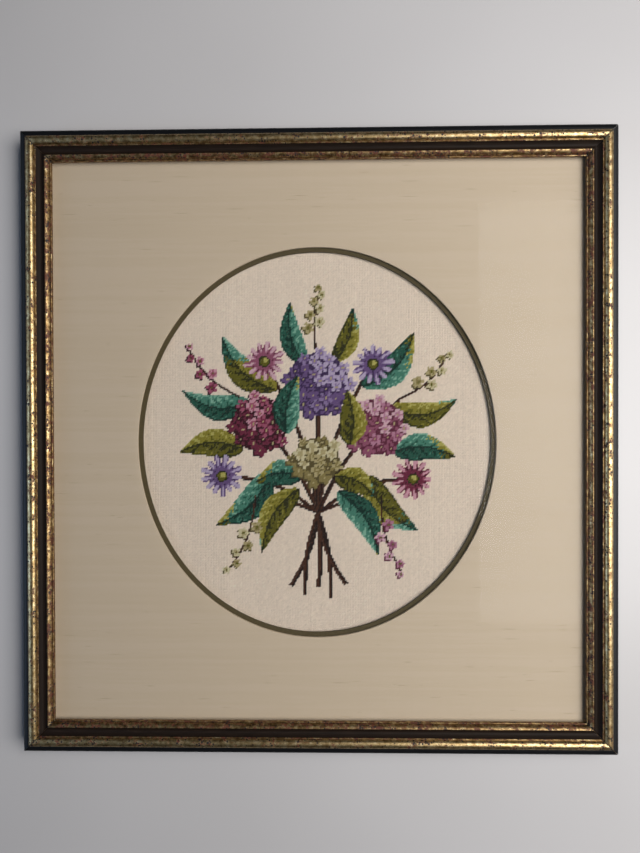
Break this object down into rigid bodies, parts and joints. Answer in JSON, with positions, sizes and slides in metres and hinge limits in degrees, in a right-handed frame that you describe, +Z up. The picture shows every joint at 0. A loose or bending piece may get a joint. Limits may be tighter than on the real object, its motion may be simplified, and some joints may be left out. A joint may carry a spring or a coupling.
{
  "type": "needlepoint canvas panel in a picture frame",
  "caption": "Flat stitched needlepoint canvas behind an oval double mat and glass, in a mitred gilt and black wooden picture frame lying on its back.",
  "frame": {"origin": "centre of the frame's footprint, on the surface that its back rests on", "axes": "+X to the picture's right, +Y to the picture's top, +Z up out of the picture's face"},
  "size_m": [0.381, 0.3996, 0.019],
  "materials": {
    "gilt_black_moulding": "turned mouldings in speckled antique gold leaf over red-brown bole, with a satin black channel and rim",
    "clear_glass": "clear, polished",
    "silk_cloth": "slubbed beige silk glued over board",
    "olive_board": "matte dark olive paper-faced board",
    "stitched_wool": "fine tent stitch in cream and coloured yarn on canvas",
    "grey_board": "plain matte grey-brown card"
  },
  "bodies": {
    "root": {"frame_rail_bottom": "gilt_black_moulding", "frame_rail_right": "gilt_black_moulding", "frame_rail_top": "gilt_black_moulding", "frame_rail_left": "gilt_black_moulding", "glass_pane": "clear_glass", "silk_mat": "silk_cloth", "olive_mat": "olive_board", "needlepoint_canvas": "stitched_wool", "backing_board": "grey_board"}
  },
  "joints": []
}
